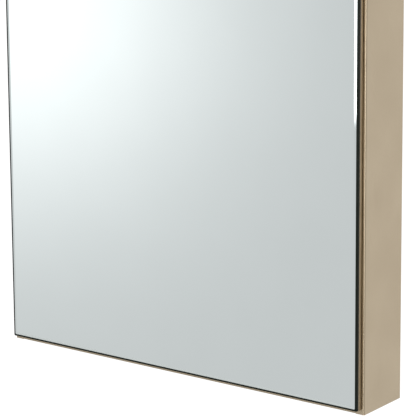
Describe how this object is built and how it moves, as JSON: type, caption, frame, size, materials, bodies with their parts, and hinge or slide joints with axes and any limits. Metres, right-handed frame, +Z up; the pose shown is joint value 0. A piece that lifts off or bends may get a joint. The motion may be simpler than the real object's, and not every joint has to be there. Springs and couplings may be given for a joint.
{
  "type": "medicine cabinet with mirror",
  "caption": "Wall cabinet with a bevelled frameless mirror door on a continuous hinge, satin metal body and glass shelves.",
  "frame": {"origin": "centre of the back face, which lies on the wall plane, at the middle of the four wall holes", "axes": "+Z up, +Y into the wall, +X to the right seen from the front; the door faces -Y"},
  "size_m": [0.61, 0.1016, 0.762],
  "materials": {
    "satin_champagne_metal": "satin champagne, brushed nickel look",
    "interior_metal": "satin anodised",
    "mirror": "silvered float glass, polished bevel",
    "black_gasket": "black, matt",
    "shelf_glass": "clear float glass, ground edges",
    "clear_pad": "clear soft plastic",
    "catch_plastic": "off-white",
    "magnet": "ferrite",
    "foam_tape": "white foam",
    "bright_steel": "zinc or nickel plated"
  },
  "bodies": {
    "cabinet": {"back_panel": "interior_metal", "left_side_panel": "satin_champagne_metal", "right_side_panel": "satin_champagne_metal", "top_panel": "satin_champagne_metal", "bottom_panel": "satin_champagne_metal", "corner_screws": "bright_steel", "back_panel_screws": "bright_steel", "upper_mounting_bar": "bright_steel", "lower_mounting_bar": "bright_steel", "mounting_bar_rivets": "bright_steel", "left_front_standard": "interior_metal", "left_rear_standard": "interior_metal", "right_front_standard": "interior_metal", "right_rear_standard": "interior_metal", "standard_screws": "bright_steel", "upper_shelf": "shelf_glass", "middle_shelf": "shelf_glass", "lower_shelf": "shelf_glass", "shelf_clips": "bright_steel", "shelf_pads": "clear_pad", "upper_catch_housing": "catch_plastic", "lower_catch_housing": "catch_plastic", "catch_magnets": "magnet", "catch_pole_plates": "bright_steel", "catch_screws": "bright_steel", "hinge_body_leaf": "bright_steel", "hinge_pin": "bright_steel", "hinge_body_rivets": "bright_steel", "door_bumpers": "clear_pad"},
    "door": {"mirror_glass": "mirror", "mirror_gasket": "black_gasket", "door_left_stile": "satin_champagne_metal", "door_right_stile": "satin_champagne_metal", "door_top_rail": "satin_champagne_metal", "door_bottom_rail": "satin_champagne_metal", "corner_keys": "bright_steel", "corner_key_screws": "bright_steel", "inner_mirror": "mirror", "bonding_pads": "foam_tape", "strike_plates": "bright_steel", "strike_screws": "bright_steel", "hinge_door_leaf": "bright_steel", "hinge_door_rivets": "bright_steel"}
  },
  "joints": [
    {"name": "door_swing", "type": "hinge", "parent": "cabinet", "child": "door", "pos_m": [-0.3026, -0.0923, 0], "axis": [0, 0, -1], "range_deg": [0, 150]}
  ]
}
